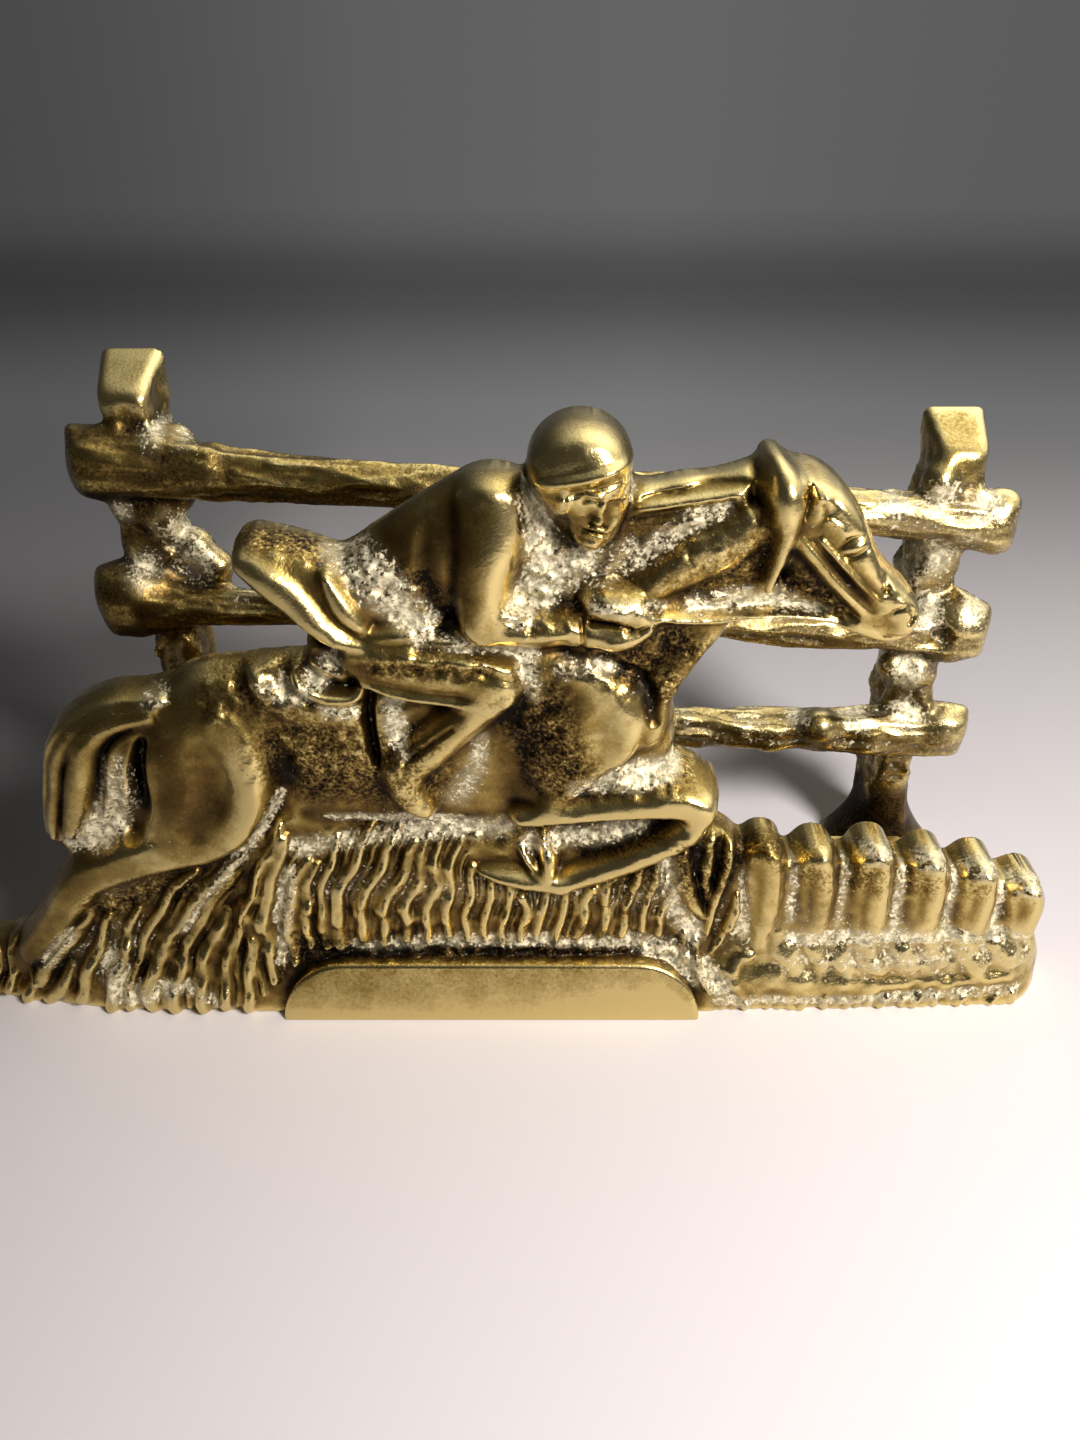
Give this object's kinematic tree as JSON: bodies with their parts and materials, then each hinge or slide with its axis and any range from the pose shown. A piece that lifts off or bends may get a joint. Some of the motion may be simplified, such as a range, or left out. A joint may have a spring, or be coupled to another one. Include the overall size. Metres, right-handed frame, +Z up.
{
  "type": "letter rack",
  "caption": "Cast brass letter rack: a galloping racehorse and rider in relief stand before a rustic rail fence, with a slot between the two castings for letters.",
  "frame": {"origin": "on the surface that the rack stands on, under the middle of its bounding box", "axes": "+X along the rack to the right seen from the front, +Y from the plaque back to the fence, +Z up"},
  "size_m": [0.164, 0.05, 0.0887],
  "materials": {
    "cast_brass": "aged sand-cast brass, polished on the high spots, tarnished and pitted in the recesses",
    "sheet_brass": "dull rolled brass sheet with a brown tarnish",
    "screw_brass": "turned brass with a dark driver slot"
  },
  "bodies": {
    "root": {"front_casting": "cast_brass", "rear_fence": "cast_brass", "floor_plate": "sheet_brass", "front_screws": "screw_brass", "rear_screws": "screw_brass"}
  },
  "joints": []
}
